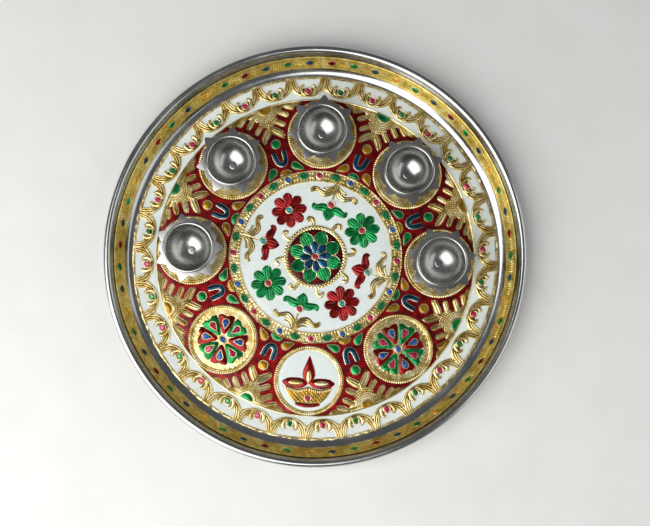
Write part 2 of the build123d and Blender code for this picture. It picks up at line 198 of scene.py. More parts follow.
def ease(values, share):
    """Value at a share of the way through a list of values."""
    spot = share * (len(values) - 1)
    first = min(int(spot), len(values) - 2)
    return values[first] + (values[first + 1] - values[first]) * (spot - first)


def gilding(name, light, mid, dark, roughness):
    """Gilt foil of uneven tone, with painted shade: its hollows are darkened to a dull brown."""
    material, tree = new_material(name)
    coords = node(tree, "TexCoord").outputs["Object"]
    wear = node(tree, "TexNoise", {"Vector": coords, "Scale": 1 / (5 * mm), "Detail": 5.0, "Roughness": 0.65})
    grain = node(tree, "TexNoise", {"Vector": coords, "Scale": 1 / (0.9 * mm), "Detail": 3.0})
    colour = node(tree, "ValToRGB", {"Fac": wear.outputs["Fac"]},
                  stops=((0.34, dark), (0.5, mid), (0.66, light)))
    hollow_shade = node(tree, "Attribute", attribute_name="shade_or_bare").outputs["Fac"]
    # Painted shade: dull brown is mixed in wherever a hollow is marked.
    hollow_shaded = node(tree, "Mix", {
        "Factor": hollow_shade, "A": colour.outputs["Color"], "B": paint("5A4716"),
    }, data_type="RGBA")
    rough = node(tree, "MapRange", {
        "Value": grain.outputs["Fac"], "From Min": 0.3, "From Max": 0.7,
        "To Min": roughness * 0.7, "To Max": roughness * 1.35,
    })
    bump = node(tree, "Bump", {"Height": grain.outputs["Fac"], "Strength": 0.35, "Distance": 0.12 * mm})
    shader = node(tree, "BsdfPrincipled", {
        "Base Color": hollow_shaded.outputs["Result"], "Metallic": 1.0, "Roughness": rough.outputs["Result"],
        "Normal": bump.outputs["Normal"],
    })
    node(tree, "OutputMaterial", {"Surface": shader.outputs["BSDF"]})
    return material


gilt = gilding("gilt_foil", "FAEFCC", "E6D395", "BCA156", 0.32)


def foil_shape(u, v):
    turn = pi * u
    ragged = noise.noise((12 * cos(turn), 12 * sin(turn), 0.3))
    ragged += 0.6 * noise.noise((45 * cos(turn), 45 * sin(turn), 2.1))
    edge_r = foil_r - 0.2 + 0.45 * ragged
    r = ease([0, 60, 100, 109.6, 110.4, 111.0, 111.5, 111.9, edge_r, edge_r - 0.1], v)
    lift = max(0.0, (v - 0.4) / 0.49)
    crumple = noise.noise((70 * cos(turn), 70 * sin(turn), 9 * v))
    z = foil_z + lift * (0.4 + 0.45 * crumple) - 0.35 * lift**6 if v < 0.95 else sheet_t + 0.02
    # Painted shade: the dips of the crumpled, lifted edge are marked to be darkened brown.
    return r * sin(turn), r * cos(turn), z, max(0.0, -1.2 * crumple) * lift


foil = pressed(720, 9, foil_shape)
fit(foil, "foil_sheet", gilt, "gilt", "tray", "embossed_foil")

# Enamel grounds: lacquer brushed between the raised lines of the foil, white in the border, the inner
# field and under the lamp, ruby red in the sectors and wine red in the centre. It dries glossy, a little
# uneven, and thin over the gilding.


def lacquer(name, thin, body, deep, metal, roughness=0.22):
    """Glossy lacquer on gilt foil: deeper where it pools, and worn to bare gold on raised edges."""
    material, tree = new_material(name)
    coords = node(tree, "TexCoord").outputs["Object"]
    pool = node(tree, "TexNoise", {"Vector": coords, "Scale": 1 / (4 * mm), "Detail": 4.0, "Roughness": 0.6})
    brush = node(tree, "TexNoise", {"Vector": coords, "Scale": 1 / (7 * mm), "Detail": 2.0})
    bare = node(tree, "Attribute", attribute_name="shade_or_bare").outputs["Fac"]
    colour = node(tree, "ValToRGB", {"Fac": pool.outputs["Fac"]},
                  stops=((0.32, deep), (0.5, body), (0.7, thin)))
    mixed = node(tree, "Mix", {
        "Factor": bare, "A": colour.outputs["Color"], "B": paint("F2E6BC"),
    }, data_type="RGBA")
    shine = node(tree, "MapRange", {"Value": bare, "To Min": metal, "To Max": 1.0})
    bump = node(tree, "Bump", {"Height": brush.outputs["Fac"], "Strength": 0.25, "Distance": 0.25 * mm})
    shader = node(tree, "BsdfPrincipled", {
        "Base Color": mixed.outputs["Result"], "Metallic": shine.outputs["Result"],
        "Roughness": roughness, "Normal": bump.outputs["Normal"],
        "Specular IOR Level": 0.25, "Coat Weight": 0.25, "Coat Roughness": 0.06,
    })
    node(tree, "OutputMaterial", {"Surface": shader.outputs["BSDF"]})
    return material


def brushed_ring(inner, outer, z, around, along):
    """A flat ring of lacquer with a slightly uneven top, thinning away at both edges."""
    def shape(u, v):
        turn = pi * u
        r = inner + (outer - inner) * v
        uneven = noise.noise((r * sin(turn) / 6, r * cos(turn) / 6, z))
        edge = min(1.0, 8 * v, 8 * (1 - v))
        return r * sin(turn), r * cos(turn), z - 0.25 * (1 - edge) + 0.05 * uneven, 0.0
    return pressed(around, along, shape, "bridge")


centre_r = 16.7
centre_out = 19.5
field_out = 46.4
band_out = 54.2
ground_out = 97.4
border_out = 111.2
ground_z = 1.4
white = lacquer("white_lacquer", "E6EEEA", "E2EAE6", "DDE5E1", 0.0, 0.28)
ruby = lacquer("ruby_lacquer", "A8080E", "740509", "3E0204", 0.7, 0.42)
wine = lacquer("wine_lacquer", "6A060A", "440406", "260203", 0.5, 0.34)
fit(brushed_ring(ground_out - 0.3, border_out - 0.7, ground_z, 360, 16), "border_lacquer", white,
    "white_enamel", "tray", "border_white_enamel")
fit(brushed_ring(centre_out - 0.5, field_out + 0.5, ground_z, 240, 20), "field_lacquer", white,
    "white_enamel", "tray", "field_white_enamel")
fit(brushed_ring(band_out - 1.2, ground_out, ground_z - 0.05, 320, 24), "sector_lacquer", ruby,
    "red_enamel", "tray", "sector_red_enamel")
fit(brushed_ring(0.02, centre_r + 0.4, ground_z - 0.05, 96, 16), "centre_lacquer", wine,
    "red_enamel", "tray", "centre_red_enamel")

# Centre ring: a raised ring of two rows of small bricks, with eight comma-shaped finials that stand out
# from it over the white field, all pressed in the gilt foil and left bare of lacquer.
floor_z = 1.0


def ringed(around, profile, ribs=None):
    """A raised ring from its (radius, height) profile; ribs(turn, share) lifts or lowers its top."""
    def shape(u, v):
        turn = pi * u
        r = ease([p[0] for p in profile], v)
        z = ease([p[1] for p in profile], v)
        rib = ribs(turn, v) if ribs else 0.0
        # Painted shade: where a rib sinks, the gilding is marked to be darkened brown.
        return r * sin(turn), r * cos(turn), z + rib, min(0.9, max(0.0, -5 * rib))
    return pressed(around, 2 * (len(profile) - 1), shape, "bridge")


def flow(points, share):
    """Place and heading at a share of the way along a smooth line through points."""
    spot = share * (len(points) - 1)
    i = min(int(spot), len(points) - 2)
    t = spot - i
    b, c = Vector(points[i]), Vector(points[i + 1])
    a = Vector(points[i - 1]) if i else 2 * b - c
    d = Vector(points[i + 2]) if i + 2 < len(points) else 2 * c - b
    bow = (2 * a - 5 * b + 4 * c - d, 3 * (b - c) + d - a)
    place = (2 * b + (c - a) * t + bow[0] * t * t + bow[1] * t**3) / 2
    heading = (c - a + 2 * bow[0] * t + 3 * bow[1] * t * t) / 2
    return place, heading.normalized()


def frond(path, widths, low, high, ridges=0, depth=0.3, rope=0, edge=0.0, edge_w=0.2,
          across=8, along=16):
    """A raised leaf, finger or ribbon along a path, rounded over from low to high.

    ridges is the number of lengthwise ridges across it, with one along the middle, or a groove there if
    it is negative, and depth is how deep the grooves are. rope is the number of cross ribs. edge is how
    bare of lacquer its rim is, over a share edge_w of it, which is flat if it is quite bare. Without one
    it is gilt, with painted shade, a dull brown, in its grooves.
    """
    widest = max(widths)

    def shape(u, v):
        place, heading = flow(path, v)
        half = ease(widths, v) / 2
        x = place.x + heading.y * u * half
        y = place.y - heading.x * u * half
        crown = sqrt(max(0.0, 1 - u * u)) * min(1.0, 1.6 * half / (widest / 2))
        groove = 0.0
        if ridges:
            groove = 0.5 - 0.5 * cos(pi * ridges * u) * (1 if ridges > 0 else -1)
            crown *= 1 - depth * groove
        if rope:
            groove = 0.5 - 0.5 * cos(2 * pi * rope * v)
            crown *= 1 - 0.44 * groove
        # Painted shade: on gilt work the grooves are marked to be darkened brown.
        shade_or_bare = 0.8 * groove**2
        if edge:
            shade_or_bare = edge if abs(u) > 1 - edge_w else 0.0
        if shade_or_bare == 1.0:
            crown = min(1.0, half) * min(0.6, 6 * (1 - abs(u)))
        return x, y, low + (high - low) * crown, min(1.0, shade_or_bare)
    return pressed(across, along, shape)


def together(*pieces):
    """Join pieces into the first of them."""
    bpy.ops.object.select_all(action="DESELECT")
    for piece in pieces:
        piece.select_set(True)
    bpy.context.view_layer.objects.active = pieces[0]
    bpy.ops.object.join()
    return pieces[0]


def clock_place(r, clock, turn=0.0, lift=0.0, tilt=0.0):
    """Matrix that sets a motif at a radius and clock angle, turned and lifted there."""
    place = Matrix.Rotation(-radians(clock), 4, "Z") @ Matrix.Translation((0, r * mm, lift * mm))
    return place @ Matrix.Rotation(-radians(turn), 4, "Z") @ Matrix.Rotation(radians(tilt), 4, "X")


def laid(pattern, places):
    """Copies of a pattern, each with its own mesh, at every place and joined into one."""
    copies = []
    for place in places:
        copy = pattern.copy()
        copy.data = pattern.data.copy()
        copy.data.transform(place)
        bpy.context.collection.objects.link(copy)
        copies.append(copy)
    bpy.data.objects.remove(pattern)
    return together(*copies)


brick_rows = 56


def bricks(turn, v):
    row = 0 if v < 0.5 else pi
    if v < 0.12 or v > 0.88:
        return 0.0
    return 0.1 * cos(brick_rows * turn + row) - 0.12 * exp(-((v - 0.5) / 0.05) ** 2)


ring_profile = [(centre_r, floor_z), (centre_r + 0.25, 1.75), (centre_r + 0.9, 2.0), (centre_r + 1.4, 2.0),
                (centre_r + 1.9, 2.0), (centre_out - 0.25, 1.75), (centre_out, floor_z)]
centre_ring = ringed(448, ring_profile, bricks)
fit(centre_ring, "centre_ring", gilt, "gilt", "tray", "embossed_foil")

finial = together(
    frond([(0, 18.9), (-0.2, 21.0), (0.5, 23.4), (2.2, 24.4)], [3.2, 2.5, 2.7, 3.2, 2.4], floor_z, 2.0),
    frond([(1.2, 24.4), (2.4, 24.0), (3.2, 22.8), (2.6, 21.8)], [2.0, 3.4, 3.4, 2.8, 1.0], floor_z, 2.1,
          along=12),
)
finial_clocks = [30.0 + 90 * i for i in range(4)]
finials = laid(finial, [clock_place(0, clock) for clock in finial_clocks] + [
    clock_place(0, clock - 36) @ Matrix.Scale(-1, 4, (1, 0, 0)) for clock in finial_clocks])
bpy.ops.object.mode_set(mode="EDIT")
close_up()
fit(finials, "ring_finials", gilt, "gilt", "tray", "embossed_foil")

# Centre flower: eight green lacquered petals with pressed veins and pale edges, eight blue drop petals
# lying on their bases, and a small raised dot on the red ground between each pair of green ones.
green = lacquer("green_lacquer", "16AC58", "08803F", "034E25", 0.6)
blue = lacquer("blue_lacquer", "1C6A94", "083A5A", "041E32", 0.6)
petal_low = 1.3
green_petal = frond([(0, 7.4), (0, 10.5), (0, 13.6), (0, 16.5)], [4.0, 8.0, 9.2, 8.5, 6.1, 1.6],
                    petal_low, 2.1, ridges=6, depth=0.3, edge=1.0, edge_w=0.09, across=24, along=20)
centre_petals_green = laid(green_petal, [clock_place(0, 14.5 + 45 * i) for i in range(8)])
fit(centre_petals_green, "centre_flower_green", green, "green_enamel", "tray", "centre_petals_green")
blue_petal = frond([(0, 2.4), (0, 4.6), (0, 6.8), (0, 9.0)], [1.8, 3.6, 4.9, 5.8, 5.8, 3.0],
                   petal_low, 2.4, edge=1.0, edge_w=0.21, across=20, along=16)
centre_petals_blue = laid(blue_petal, [clock_place(0, 38 + 45 * i) for i in range(8)])
fit(centre_petals_blue, "centre_flower_blue", blue, "blue_enamel", "tray", "centre_petals_blue")
dots = []
for i in range(8):
    bpy.ops.object.select_all(action="DESELECT")
    bpy.ops.mesh.primitive_uv_sphere_add(segments=12, ring_count=8, radius=0.55 * mm)
    dots.append(bpy.context.object)
    dots[-1].data.transform(clock_place(14.6, 38 + 45 * i, lift=1.35))
fit(together(*dots), "centre_dots", ruby, "red_enamel", "tray", "centre_red_enamel")

# Flowers and sprays of the white field: rounded petals and curling leaves pressed with lengthwise
# ridges and flooded with red or green lacquer, two flowers and two sprays of each colour.
scarlet = lacquer("scarlet_lacquer", "B20C10", "800709", "440304", 0.6)
flower_pitch = 32.95
flower_clock = 57.5
spray_pitch = 33.45
spray_clock = 13.8
leaf_low = 1.2
leaf_high = 2.3


def mirrored(pattern):
    """A pattern with its mirror image across the Y axis."""
    other = pattern.copy()
    other.data = pattern.data.copy()
    other.data.transform(Matrix.Scale(-1, 4, (1, 0, 0)))
    other.data.flip_normals()
    bpy.context.collection.objects.link(other)
    return together(pattern, other)


for colour, finish, turns in (("green", green, (0, 180)), ("red", scarlet, (90, 270))):
    petal = frond([(0, 1.6), (0, 4.8), (0, 8.0), (0, 10.8)], [2.0, 3.6, 4.8, 5.8, 6.3, 5.5, 2.0],
                  leaf_low, leaf_high, ridges=4, depth=0.3, edge=0.15, edge_w=0.1, across=20, along=20)
    flower = laid(petal, [clock_place(0, 22 + 45 * i) for i in range(8)])
    flowers = laid(flower, [clock_place(flower_pitch, flower_clock + turn) for turn in turns])
    fit(flowers, f"flowers_of_{colour}", finish, f"{colour}_enamel", "tray", f"flowers_{colour}")
    bud = frond([(0, -1.2), (0, -4.0), (0, -7.2), (0.3, -10.6)], [2.6, 6.4, 8.0, 7.4, 4.6, 0.4],
                leaf_low, leaf_high, ridges=4, depth=0.3, edge=0.15, edge_w=0.1, across=20, along=16)
    curl = frond([(1.2, -3.2), (4.2, -2.7), (7.2, -3.6), (9.4, -3.9), (10.8, -1.8)],
                 [3.2, 5.2, 5.4, 4.4, 3.9, 3.6, 1.4], leaf_low, leaf_high - 0.1, ridges=-3, depth=0.3,
                 edge=0.15, edge_w=0.1, across=16, along=24)
    spray = together(bud, mirrored(curl))
    sprays = laid(spray, [clock_place(spray_pitch, spray_clock + turn) for turn in turns])
    fit(sprays, f"sprays_of_{colour}", finish, f"{colour}_enamel", "tray", f"sprays_{colour}")

# Scroll leaves: a pair of S-shaped leaves on a stem between each spray and the stone band, pressed in the
# gilt foil with grooves along them and left bare of lacquer.
scroll_arm = frond([(0.8, 11.2), (2.4, 7.6), (5.8, 5.4), (9.0, 6.2), (11.6, 7.2), (13.6, 6.2), (14.0, 4.2)],
                   [1.8, 3.8, 4.4, 4.2, 3.4, 3.2, 3.6, 3.6, 1.6], floor_z, 2.2, ridges=-3, depth=0.4,
                   across=14, along=36)
scroll_tuft = frond([(1.0, 12.4), (3.2, 9.6), (5.8, 8.6), (7.6, 9.4)], [1.2, 2.8, 3.2, 2.8, 1.0],
                    floor_z, 2.0, ridges=-3, depth=0.4, across=10, along=16)
stem = frond([(0, 3.0), (0, 8.0), (0, 13.2)], [1.6, 2.0, 2.8, 4.2], floor_z, 2.0, ridges=-3, depth=0.4,
             across=10)
scroll = together(mirrored(scroll_arm), mirrored(scroll_tuft), stem)
scrolls = laid(scroll, [clock_place(spray_pitch, spray_clock + 90 * i) for i in range(4)])
fit(scrolls, "scroll_leaves", gilt, "gilt", "tray", "embossed_foil")

# Stone band: a gilt ring between two raised lines, grained all over, with clusters of round grains
# between the stones that are set round it.
band_mid = 50.3


def band_grain(turn, v):
    if v < 0.16 or v > 0.84:
        return 0.0
    return 0.14 * cos(150 * turn) * cos(7 * pi * v)


band_profile = [(field_out, floor_z), (field_out + 0.2, 1.9), (field_out + 0.7, 1.9), (field_out + 1.0, 1.45),
                (band_mid, 1.55), (band_out - 2.2, 1.45), (band_out - 1.8, 2.0), (band_out - 1.1, 2.1),
                (band_out - 0.7, floor_z)]
band = ringed(900, band_profile, band_grain)
fit(band, "stone_band", gilt, "gilt", "tray", "embossed_foil")
bpy.ops.object.select_all(action="DESELECT")
bpy.ops.mesh.primitive_uv_sphere_add(segments=12, ring_count=8, radius=0.85 * mm)
grain_places = [clock_place(r, 11.25 * i + 5.625 + side, lift=1.6)
                for i in range(32) for r, side in ((49.0, -0.9), (51.6, -0.9), (49.0, 0.9), (51.6, 0.9))]
grains = laid(bpy.context.object, grain_places)
fit(grains, "band_grains", gilt, "gilt", "tray", "embossed_foil")

# Sector cells: pools of green and amber lacquer inside raised gilt outlines, and a dark blue loop with
# a pale edge, in each of the eight sectors between the medallions.
amber = lacquer("amber_lacquer", "CE9A20", "A67C10", "6A4A05", 0.55)
teal = lacquer("dark_blue_lacquer", "135A74", "08384E", "042030", 0.6)


def outline(right, steps):
    """A closed outline from the points of its right-hand side, from its foot up to its head."""
    side = [flow(right, i / steps)[0] for i in range(steps + 1)]
    return side + [Vector((-p.x, p.y)) for p in reversed(side[1:-1])]


def cell(rim, low, rim_z, pool_z, crown_z, rim_w, bare=1.0):
    """A pool of lacquer within a raised rim, domed towards the middle of its outline."""
    middle = sum(rim, Vector((0, 0))) / len(rim)
    dome = crown_z - pool_z
    steps = [(0.0, low, bare), (0.2 * rim_w, rim_z, bare), (0.8 * rim_w, rim_z, bare),
             (rim_w, pool_z, 0.2 * bare)]
    pool = [(0.75, pool_z + 0.55 * dome), (0.45, pool_z + 0.85 * dome), (0.0, crown_z)]

    def shape(u, v):
        point = rim[round((u + 1) / 2 * len(rim)) % len(rim)]
        station = round(v * (len(steps) + len(pool) - 1))
        reach = (point - middle).length
        if station < len(steps):
            inset, z, shade_or_bare = steps[station]
            share = 1 - inset / reach
        else:
            share, z = pool[station - len(steps)]
            share *= 1 - steps[-1][0] / reach
            shade_or_bare = 0.0
        spot = middle + (point - middle) * share
        return spot.x, spot.y, z, shade_or_bare
    return pressed(len(rim), len(steps) + len(pool) - 1, shape)


def round_side(r):
    """Right-hand side of a circle, for an outline."""
    return [(r * sin(pi * i / 8), -r * cos(pi * i / 8)) for i in range(9)]


cell_low, cell_rim, cell_pool, cell_crown = 1.2, 2.0, 1.75, 2.05
half_side = [(0, -4.4), (2.4, -3.7), (4.0, -2.1), (4.6, 0.0), (2.3, 0.4), (0, 0.5)]
lobe_side = [(0, -0.8), (2.2, -0.75), (3.7, -0.6), (3.9, 0.4), (2.9, 1.8), (1.4, 2.6), (0, 2.8)]
tear_side = [(0, -3.5), (0.7, -2.6), (1.8, -0.4), (2.6, 2.0), (2.4, 4.0), (1.3, 5.2), (0, 5.5)]
sectors = [22.5 + 45 * i for i in range(8)]
tear_r, tear_off, tear_turn = band_out + 2.1, 9.3, 57


def sector_pool(side, up=0.0):
    """A cell from its right-hand side, raised where it lies on a fan."""
    return cell(outline(side, 16), cell_low, cell_rim + up, cell_pool + up, cell_crown + up, 0.5)


for colour, finish, first, second in (
    ("green", green, sectors[0::2], sectors[1::2]),
    ("amber", amber, sectors[1::2], sectors[0::2]),
):
    cells = together(
        laid(sector_pool(lobe_side), [clock_place(band_out, clock) for clock in first]),
        laid(sector_pool(half_side, 0.4), [clock_place(ground_out - 0.5, clock + 0.2) for clock in first]),
        laid(sector_pool(round_side(3.2)), [clock_place(band_out + 19.4, clock) for clock in second]),
        laid(sector_pool(tear_side), [clock_place(tear_r, clock - tear_off, tear_turn) for clock in second]),
        laid(sector_pool(tear_side), [clock_place(tear_r, clock + tear_off, -tear_turn) for clock in second]),
    )
    fit(cells, f"sector_cells_of_{colour}", finish, f"{colour}_enamel", "tray", f"sector_cells_{colour}")
loop_path = [(-3.3, 4.8), (-3.1, 2.6), (-2.9, 0.2), (-2.3, -1.9), (-1.2, -3.1), (0, -3.45),
             (1.2, -3.1), (2.3, -1.9), (2.9, 0.2), (3.1, 2.6), (3.3, 4.8)]
loop = frond(loop_path, [3.0] + [3.6] * 14 + [3.0], cell_low, 2.1, edge=1.0, edge_w=0.21, across=20, along=56)
loops = laid(loop, [clock_place(63.9, clock) for clock in sectors])
fit(loops, "sector_loops", teal, "blue_enamel", "tray", "sector_loops_blue")

# Frond fans: gilt leaf sprays that fill the outer end of each sector, with grooved fingers, a scaly
# trunk and roped arcs round the half-round cell, and tails along a thin raised boundary line.
fan_parts = [
    frond([(0, -17.2), (0, -12.0), (0, -6.5), (0, -0.6)], [1.4, 7.2, 8.8, 9.8, 11.4, 18.0, 25.0, 26.0],
          floor_z, 1.75, across=14, along=24),
    frond([(0, -17.4), (0, -13.0), (0, -9.6)], [0.4, 2.2, 2.8, 3.0, 1.4], 1.3, 2.3, ridges=-3, depth=0.5,
          along=20),
]
for radius, spread in ((5.6, 76), (7.0, 66), (8.4, 52), (9.8, 38), (11.2, 26)):
    bend = [(radius * sin(radians(a)), -0.5 - radius * cos(radians(a)))
            for a in (-spread, -spread / 2, 0, spread / 2, spread)]
    ropes = round(radius * spread / 36)
    fan_parts.append(frond(bend, [0.8, 1.4, 1.5, 1.5, 1.4, 0.8], 1.3, 2.3, rope=ropes, across=6,
                           along=6 * ropes))
blunt = [2.6, 3.4, 3.8, 3.9, 3.9, 3.9, 3.8, 3.3, 1.7]
for path, widths in (
    (((0.8, -13.8), (3.4, -16.5), (5.4, -18.9), (6.7, -22.0)), [4.4, 5.2, 5.2, 4.9, 4.5, 3.4, 0.8]),
    (((3.4, -9.2), (7.0, -12.1), (9.6, -14.5)), blunt),
    (((7.2, -4.2), (10.8, -7.2), (13.4, -9.5)), blunt),
    (((12.6, -2.4), (15.7, -4.4), (18.1, -6.2)), blunt),
):
    fan_parts.append(mirrored(frond(path, widths, floor_z, 2.2, ridges=-3, depth=0.5, across=14, along=24)))
tail = [(4.4, -2.0), (10.0, -2.2), (15.0, -2.6), (20.5, -3.6), (24.3, -3.7)]
fan_parts.append(mirrored(frond(tail, [2.4, 2.6, 2.8, 3.8, 3.4, 0.5], floor_z, 1.95, ridges=-5, depth=0.4,
                                across=20, along=20)))
fan = together(*fan_parts)
fans = laid(fan, [clock_place(ground_out, clock) for clock in sectors])
fit(fans, "frond_fans", gilt, "gilt", "tray", "embossed_foil")
line_profile = [(ground_out - 0.5, floor_z), (ground_out - 0.35, 1.75), (ground_out, 1.9),
                (ground_out + 0.35, 1.75), (ground_out + 0.5, floor_z)]
fit(ringed(360, line_profile), "boundary_line", gilt, "gilt", "tray", "embossed_foil")

# Medallions: eight round frames pressed in the foil, each a ribbed band with a smooth line inside it.
# Seven have a bare gilt floor with swirled ribs, and the near one has a white floor for its picture.
pitch_r = 75.9
medallion_r = 21.2
floor_r = 18.6
frame_rib_count = 96


def frame_ribs(turn, v):
    return 0.16 * cos(frame_rib_count * turn) if 0.52 < v < 0.9 else 0.0


frame_profile = [(floor_r - 0.2, floor_z), (floor_r + 0.1, 1.8), (floor_r + 0.5, 1.95), (floor_r + 0.9, 1.55),
                 (floor_r + 1.2, 1.85), (floor_r + 1.6, 2.0), (floor_r + 2.1, 1.95), (medallion_r, 1.7),
                 (medallion_r + 0.1, floor_z)]
medallion = ringed(6 * frame_rib_count, frame_profile, frame_ribs)


def swirl_floor(u, v):
    turn = pi * u
    r = ease([0.02, 4, 8, 12, 15, 17.4, floor_r], v)
    ribs = 0.12 * cos(40 * turn + 3 * sin(r / 3.2)) * min(1.0, r / 9)
    rings = 0.1 * cos(2 * pi * r / 3.1)
    # Painted shade: the low parts of the swirled ribs and rings are marked to be darkened brown.
    return r * sin(turn), r * cos(turn), 1.42 + ribs + rings, max(0.0, -3 * (ribs + rings))


floor_dish = pressed(200, 36, swirl_floor)
medallion_clocks = [45 * i for i in range(8)]
frames = laid(medallion, [clock_place(pitch_r, clock) for clock in medallion_clocks])
fit(frames, "medallion_frames", gilt, "gilt", "tray", "embossed_foil")
floors = laid(floor_dish, [clock_place(pitch_r, clock) for clock in medallion_clocks if clock != 180])
fit(floors, "medallion_floors", gilt, "gilt", "tray", "embossed_foil")

# Flower wheels: eight heart-ended petals in each of two medallions, pressed in the foil and lacquered red
# and green by turns inside bare gilt edges.
heart_in, heart_out, heart_notch = 2.6, 16.1, 1.1


def heart_petal(u, v):
    tip = heart_out - heart_notch * max(0.0, 1 - abs(u) / 0.45)
    y = heart_in + (tip - heart_in) * v
    half = ease([0.6, 1.8, 2.8, 3.8, 4.7, 5.5, 5.8, 4.8], v)
    if v > 0.97:
        half *= 0.8
    crown = sqrt(max(0.0, 1 - u * u)) * min(1.0, 5 * v + 0.1, 8 * (1 - v))
    bare = max(0.0, (abs(u) - 0.94) / 0.06, (v - 0.95) / 0.05)
    return u * half, y, 1.2 + 0.95 * crown, min(1.0, bare)


wheels = {135: {"green": 19.0, "red": 64.0}, 225: {"green": 52.0, "red": 7.0}}
wheel_spots = {}
for colour, finish in (("red", scarlet), ("green", green)):
    wheel_spots[colour] = [clock_place(pitch_r, clock, turns[colour] - clock + 90 * i)
                           for clock, turns in wheels.items() for i in range(4)]
    petals = laid(pressed(24, 24, heart_petal), wheel_spots[colour])
    fit(petals, f"wheel_petals_of_{colour}", finish, f"{colour}_enamel", "tray", f"wheel_petals_{colour}")

# Lamp picture: an oil lamp drawn in raised lines on white lacquer, with a red flame and two red leaves
# round gilt cores, an amber bowl with a lattice and swags of grains, and a red foot line.
lamp_place = clock_place(-pitch_r, 0)
lamp_low, lamp_high = 1.4, 2.3
lamp_ground = brushed_ring(0.02, floor_r + 0.3, 1.6, 120, 16)
fit(laid(lamp_ground, [lamp_place]), "lamp_lacquer", white, "white_enamel", "tray", "lamp_white_enamel")
flame = frond([(0, -1.9), (0, 3.2), (0, 9.0), (0, 16.4)], [2.6, 6.8, 8.6, 8.0, 5.6, 2.8, 0.3],
              lamp_low, lamp_high, edge=0.05, across=12, along=24)
leaf = frond([(0.4, -1.6), (5.0, -1.7), (10.5, -1.6), (16.0, -1.3)], [1.6, 5.2, 6.7, 7.0, 6.8, 5.4, 1.4],
             lamp_low, lamp_high, edge=0.05, across=12, along=20)
foot = frond([(-7.4, -14.3), (-3.7, -15.0), (0, -15.2), (3.7, -15.0), (7.4, -14.3)],
             [1.6, 2.5, 2.8, 2.8, 2.5, 1.6], lamp_low, lamp_high - 0.1, edge=0.05, along=24)
lamp_red = laid(together(flame, mirrored(leaf), foot), [lamp_place])
fit(lamp_red, "lamp_flame_and_leaves", scarlet, "red_enamel", "tray", "lamp_flame_red")


def bowl_front(u, v):
    half = ease([7.4, 10.1, 12.1, 13.5, 14.4, 14.8], v)
    top = -3.4 - 1.6 * sin(pi * min(1.0, abs(u) * 1.1))
    y = -14.0 + (top + 14.0) * v
    x = u * half
    lattice = max(cos(2 * pi * (x + y) / 2.6), cos(2 * pi * (x - y) / 2.6)) if 0.05 < v < 0.95 else 0.0
    edge = min(1.0, 6 * (1 - abs(u)), 8 * v, 8 * (1 - v))
    bare = max(0.0, 1 - 2 * edge) + 0.35 * max(0.0, lattice - 0.6)
    return x, y, lamp_low + 0.65 * sqrt(max(0.0, edge)) + 0.1 * lattice * edge, min(1.0, bare)


lamp_bowl = laid(pressed(72, 32, bowl_front), [lamp_place])
fit(lamp_bowl, "lamp_bowl", amber, "amber_enamel", "tray", "lamp_bowl_amber")
flame_core = frond([(0, -1.4), (0, 2.6), (0, 7.6)], [1.0, 3.4, 3.8, 2.8, 0.3], 1.6, 2.8, along=20)
leaf_core = frond([(2.6, -1.6), (7.8, -1.6), (13.2, -1.4)], [0.3, 3.0, 3.8, 3.2, 0.2], 1.6, 2.8)
bead_spots = []
for i in range(11):
    share = (1.0 + 1.25 * i) / 14.4
    top = -4.9 - 1.6 * sin(pi * min(1.0, share * 1.1))
    bead_spots += [Matrix.Translation((side * 14.4 * share * mm, top * mm, 2.1 * mm)) for side in (-1, 1)]
bpy.ops.object.select_all(action="DESELECT")
bpy.ops.mesh.primitive_uv_sphere_add(segments=10, ring_count=6, radius=1,
                                     scale=(0.5 * mm, 1.3 * mm, 0.6 * mm))
bpy.ops.object.transform_apply(location=False, rotation=False, scale=True)
lamp_swags = laid(bpy.context.object, bead_spots)
lamp_gilt = laid(together(flame_core, mirrored(leaf_core), lamp_swags), [lamp_place])
fit(lamp_gilt, "lamp_cores_and_swags", gilt, "gilt", "tray", "embossed_foil")

# Garland: thirty-two swags pressed in the gilt foil round the white border, each with a fine line along
# its lower edge, three strands on either side that meet its neighbours' in peaks, and a hooked leaf on
# either side of its stone.
swag_count = 32
swag_step = 360 / swag_count
swag_foot = [99.1, 99.3, 99.8, 100.8, 102.3, 104.2]
swag_head = [104.4, 105.9, 106.2, 106.9, 109.8, 110.9]
swag_reach = 10.7


def swag_body(u, v):
    foot, head = ease(swag_foot, abs(u)), ease(swag_head, abs(u))
    crown = sqrt(max(0.0, 1 - (2 * v - 1) ** 2))
    # Painted shade: the low body under the strands is marked dark brown all over, as shade between them.
    return swag_reach * u, foot + (head - foot) * v, floor_z + 0.55 * crown, 0.9


swag_line = [(-10.5, 104.5), (-8.6, 102.6), (-4.5, 100.3), (0, 99.6), (4.5, 100.3), (8.6, 102.6),
             (10.5, 104.5)]
swag_parts = [pressed(44, 10, swag_body), frond(swag_line, [1.2] * 7, floor_z, 2.3, across=6, along=48)]
for path, wide in (
    (((10.6, 110.6), (10.0, 106.6), (8.3, 103.2), (5.6, 101.0), (2.6, 100.2)), 1.35),
    (((9.6, 110.8), (8.7, 107.0), (7.2, 104.2), (5.2, 102.2)), 1.35),
    (((8.4, 110.7), (7.5, 107.5), (6.4, 105.3), (5.2, 103.7)), 1.35),
    (((1.6, 100.4), (3.3, 101.7), (4.1, 103.8), (4.0, 105.3), (3.2, 106.2), (2.2, 105.8)), 2.5),
):
    widths = [wide * share for share in (0.6, 1.0, 1.0, 1.0, 1.0, 0.9, 0.4)]
    swag_parts.append(mirrored(frond(path, widths, floor_z, 2.5, across=8, along=24)))
garland = laid(together(*swag_parts), [clock_place(0, swag_step * (i + 0.5)) for i in range(swag_count)])
fit(garland, "garland_swags", gilt, "gilt", "tray", "embossed_foil")

# Stones: foil-backed glass, moulded with a flat table and slanted facets, each glued into a thin gilt
# cup on the raised work or on the lacquer.
stone_r = 1.85
stone_h = 1.4
relief_z = 1.9
band_z = 1.7


